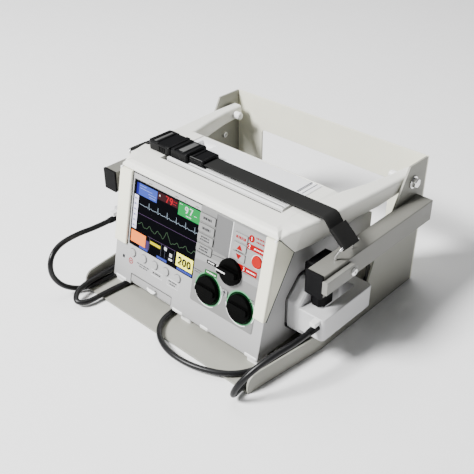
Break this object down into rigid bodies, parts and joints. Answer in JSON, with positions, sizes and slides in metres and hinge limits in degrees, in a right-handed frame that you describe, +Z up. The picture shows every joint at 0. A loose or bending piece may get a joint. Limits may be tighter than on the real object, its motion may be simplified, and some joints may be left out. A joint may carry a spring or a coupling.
{
  "type": "defibrillator",
  "caption": "Portable defibrillator with screen, knobs and side paddles, strapped in a folded steel cradle with side bars.",
  "frame": {"origin": "middle of the underside of the cradle tray, at the height of the standing surface", "axes": "+Z up, front face with the screen towards -Y, +X to the right seen from the front"},
  "size_m": [0.3656, 0.3505, 0.182],
  "materials": {
    "cradle_paint": "fine matt powder coat, warm grey",
    "back_plate_paint": "fine matt powder coat, pale cream grey",
    "bar_paint": "satin powder coat, light warm grey",
    "guard_paint": "satin powder coat, light warm grey",
    "cap_black": "matt black moulded",
    "retainer_black": "matt black moulded",
    "zinc": "bright zinc plated",
    "bolt_steel": "bright plated",
    "nut_white": "white nylon cap",
    "housing_grey": "light silver-grey moulding, very fine texture",
    "frame_cream": "cream-white moulding, satin",
    "column_cream": "cream moulding, satin",
    "panel_grey": "grey printed overlay with coloured labels",
    "screen_glass": "clear window, slight anti-glare",
    "screen_lit": "lit colour display",
    "key_pale": "pale grey silicone key",
    "key_grey": "light grey key, printed",
    "key_white": "light grey key, red symbols",
    "key_red": "translucent red key",
    "knob_black": "satin black moulding with white pointer",
    "switch_body": "moulded switch bodies",
    "door_grey": "light silver-grey moulding, white tab",
    "recorder_grey": "light grey moulding, ribbed",
    "battery_white": "white moulding",
    "board_green": "circuit board",
    "chassis_metal": "bare folded sheet",
    "capacitor_case": "drawn can",
    "foot_white": "white moulded feet",
    "paddle_grey": "light grey moulding, satin",
    "electrode_steel": "bright plate",
    "paddle_button_white": "white push button",
    "gland_black": "black strain relief",
    "gasket_black": "black seal",
    "webbing_black": "woven black webbing",
    "buckle_black": "black moulded buckle",
    "lead_black": "smooth black jacket",
    "connector_black": "black moulded connector block"
  },
  "bodies": {
    "chassis": {"bar_end_caps": "cap_black", "bar_guard_plate": "guard_paint", "bar_screws": "zinc", "buckle_female": "buckle_black", "buckle_male": "buckle_black", "column_left": "column_cream", "column_right": "column_cream", "control_panel": "panel_grey", "cradle_back_plate": "back_plate_paint", "cradle_tray": "cradle_paint", "device_feet": "foot_white", "display_glass": "screen_glass", "display_module": "screen_lit", "foot_screws": "zinc", "front_board": "board_green", "handle_bolts": "bolt_steel", "handle_cap_nuts": "nut_white", "housing_shell": "housing_grey", "hv_capacitor": "capacitor_case", "lead_connector": "connector_black", "lead_left": "lead_black", "lead_right": "lead_black", "main_chassis": "chassis_metal", "paddle_electrodes": "electrode_steel", "paddle_glands": "gland_black", "paddle_left": "paddle_grey", "paddle_right": "paddle_grey", "recorder_cover": "recorder_grey", "rotary_switches": "switch_body", "side_bar_left": "bar_paint", "side_bar_right": "bar_paint", "strap_adjuster": "buckle_black", "strap_hooks": "bolt_steel", "strap_left": "webbing_black", "strap_right": "webbing_black", "top_frame_handle": "frame_cream", "well_gaskets": "gasket_black"},
    "soft_key_1": {"soft_key_1": "key_pale"},
    "soft_key_2": {"soft_key_2": "key_pale"},
    "soft_key_3": {"soft_key_3": "key_pale"},
    "soft_key_4": {"soft_key_4": "key_pale"},
    "soft_key_5": {"soft_key_5": "key_pale"},
    "side_key_1": {"side_key_1": "key_grey"},
    "side_key_2": {"side_key_2": "key_grey"},
    "side_key_3": {"side_key_3": "key_grey"},
    "side_key_4": {"side_key_4": "key_grey"},
    "key_charge": {"key_charge": "key_white"},
    "key_energy_up": {"key_energy_up": "key_white"},
    "key_energy_down": {"key_energy_down": "key_white"},
    "key_shock": {"key_shock": "key_red"},
    "key_help": {"key_help": "key_white"},
    "knob_selector": {"knob_selector": "knob_black"},
    "knob_output": {"knob_output": "knob_black"},
    "knob_rate": {"knob_rate": "knob_black"},
    "card_door": {"card_door": "door_grey"},
    "battery": {"battery_pack": "battery_white"},
    "retainer_right": {"retainer_right": "retainer_black"},
    "paddle_button_right": {"paddle_button_right": "paddle_button_white"},
    "retainer_left": {"retainer_left": "retainer_black"},
    "paddle_button_left": {"paddle_button_left": "paddle_button_white"}
  },
  "joints": [
    {"name": "soft_key_1_press", "type": "slide", "parent": "chassis", "child": "soft_key_1", "axis": [0, 0.9785, -0.2062], "range_m": [0, 0.0012], "stiffness_N_per_m": 150, "springref_m": -0.0008},
    {"name": "soft_key_2_press", "type": "slide", "parent": "chassis", "child": "soft_key_2", "axis": [0, 0.9785, -0.2062], "range_m": [0, 0.0012], "stiffness_N_per_m": 150, "springref_m": -0.0008},
    {"name": "soft_key_3_press", "type": "slide", "parent": "chassis", "child": "soft_key_3", "axis": [0, 0.9785, -0.2062], "range_m": [0, 0.0012], "stiffness_N_per_m": 150, "springref_m": -0.0008},
    {"name": "soft_key_4_press", "type": "slide", "parent": "chassis", "child": "soft_key_4", "axis": [0, 0.9785, -0.2062], "range_m": [0, 0.0012], "stiffness_N_per_m": 150, "springref_m": -0.0008},
    {"name": "soft_key_5_press", "type": "slide", "parent": "chassis", "child": "soft_key_5", "axis": [0, 0.9785, -0.2062], "range_m": [0, 0.0012], "stiffness_N_per_m": 150, "springref_m": -0.0008},
    {"name": "side_key_1_press", "type": "slide", "parent": "chassis", "child": "side_key_1", "axis": [0, 0.9785, -0.2062], "range_m": [0, 0.0012], "stiffness_N_per_m": 150, "springref_m": -0.0008},
    {"name": "side_key_2_press", "type": "slide", "parent": "chassis", "child": "side_key_2", "axis": [0, 0.9785, -0.2062], "range_m": [0, 0.0012], "stiffness_N_per_m": 150, "springref_m": -0.0008},
    {"name": "side_key_3_press", "type": "slide", "parent": "chassis", "child": "side_key_3", "axis": [0, 0.9785, -0.2062], "range_m": [0, 0.0012], "stiffness_N_per_m": 150, "springref_m": -0.0008},
    {"name": "side_key_4_press", "type": "slide", "parent": "chassis", "child": "side_key_4", "axis": [0, 0.9785, -0.2062], "range_m": [0, 0.0012], "stiffness_N_per_m": 150, "springref_m": -0.0008},
    {"name": "key_charge_press", "type": "slide", "parent": "chassis", "child": "key_charge", "axis": [0, 0.9785, -0.2062], "range_m": [0, 0.0012], "stiffness_N_per_m": 150, "springref_m": -0.0008},
    {"name": "key_energy_up_press", "type": "slide", "parent": "chassis", "child": "key_energy_up", "axis": [0, 0.9785, -0.2062], "range_m": [0, 0.0012], "stiffness_N_per_m": 150, "springref_m": -0.0008},
    {"name": "key_energy_down_press", "type": "slide", "parent": "chassis", "child": "key_energy_down", "axis": [0, 0.9785, -0.2062], "range_m": [0, 0.0012], "stiffness_N_per_m": 150, "springref_m": -0.0008},
    {"name": "key_shock_press", "type": "slide", "parent": "chassis", "child": "key_shock", "axis": [0, 0.9785, -0.2062], "range_m": [0, 0.0012], "stiffness_N_per_m": 150, "springref_m": -0.0008},
    {"name": "key_help_press", "type": "slide", "parent": "chassis", "child": "key_help", "axis": [0, 0.9785, -0.2062], "range_m": [0, 0.0012], "stiffness_N_per_m": 150, "springref_m": -0.0008},
    {"name": "knob_selector_turn", "type": "hinge", "parent": "chassis", "child": "knob_selector", "pos_m": [0.06425, -0.10101, 0.10124], "axis": [0, -0.9785, 0.2062], "range_deg": [-150, 35]},
    {"name": "knob_output_turn", "type": "hinge", "parent": "chassis", "child": "knob_output", "pos_m": [0.03425, -0.10864, 0.06504], "axis": [0, -0.9785, 0.2062], "range_deg": [-135, 135]},
    {"name": "knob_rate_turn", "type": "hinge", "parent": "chassis", "child": "knob_rate", "pos_m": [0.08475, -0.10864, 0.06504], "axis": [0, -0.9785, 0.2062], "range_deg": [-135, 135]},
    {"name": "card_door_hinge", "type": "hinge", "parent": "chassis", "child": "card_door", "pos_m": [-0.05975, -0.11707, 0.01827], "axis": [1, 0, 0], "range_deg": [0, 75]},
    {"name": "battery_lift", "type": "slide", "parent": "chassis", "child": "battery", "axis": [0, 0, 1], "range_m": [0, 0.06]},
    {"name": "retainer_right_slide", "type": "slide", "parent": "chassis", "child": "retainer_right", "axis": [0, 1, 0], "range_m": [0, 0.08]},
    {"name": "paddle_button_right_press", "type": "slide", "parent": "chassis", "child": "paddle_button_right", "axis": [0, 1, 0], "range_m": [0, 0.003], "stiffness_N_per_m": 150, "springref_m": -0.001},
    {"name": "retainer_left_slide", "type": "slide", "parent": "chassis", "child": "retainer_left", "axis": [0, 1, 0], "range_m": [0, 0.08]},
    {"name": "paddle_button_left_press", "type": "slide", "parent": "chassis", "child": "paddle_button_left", "axis": [0, 1, 0], "range_m": [0, 0.003], "stiffness_N_per_m": 150, "springref_m": -0.001}
  ]
}
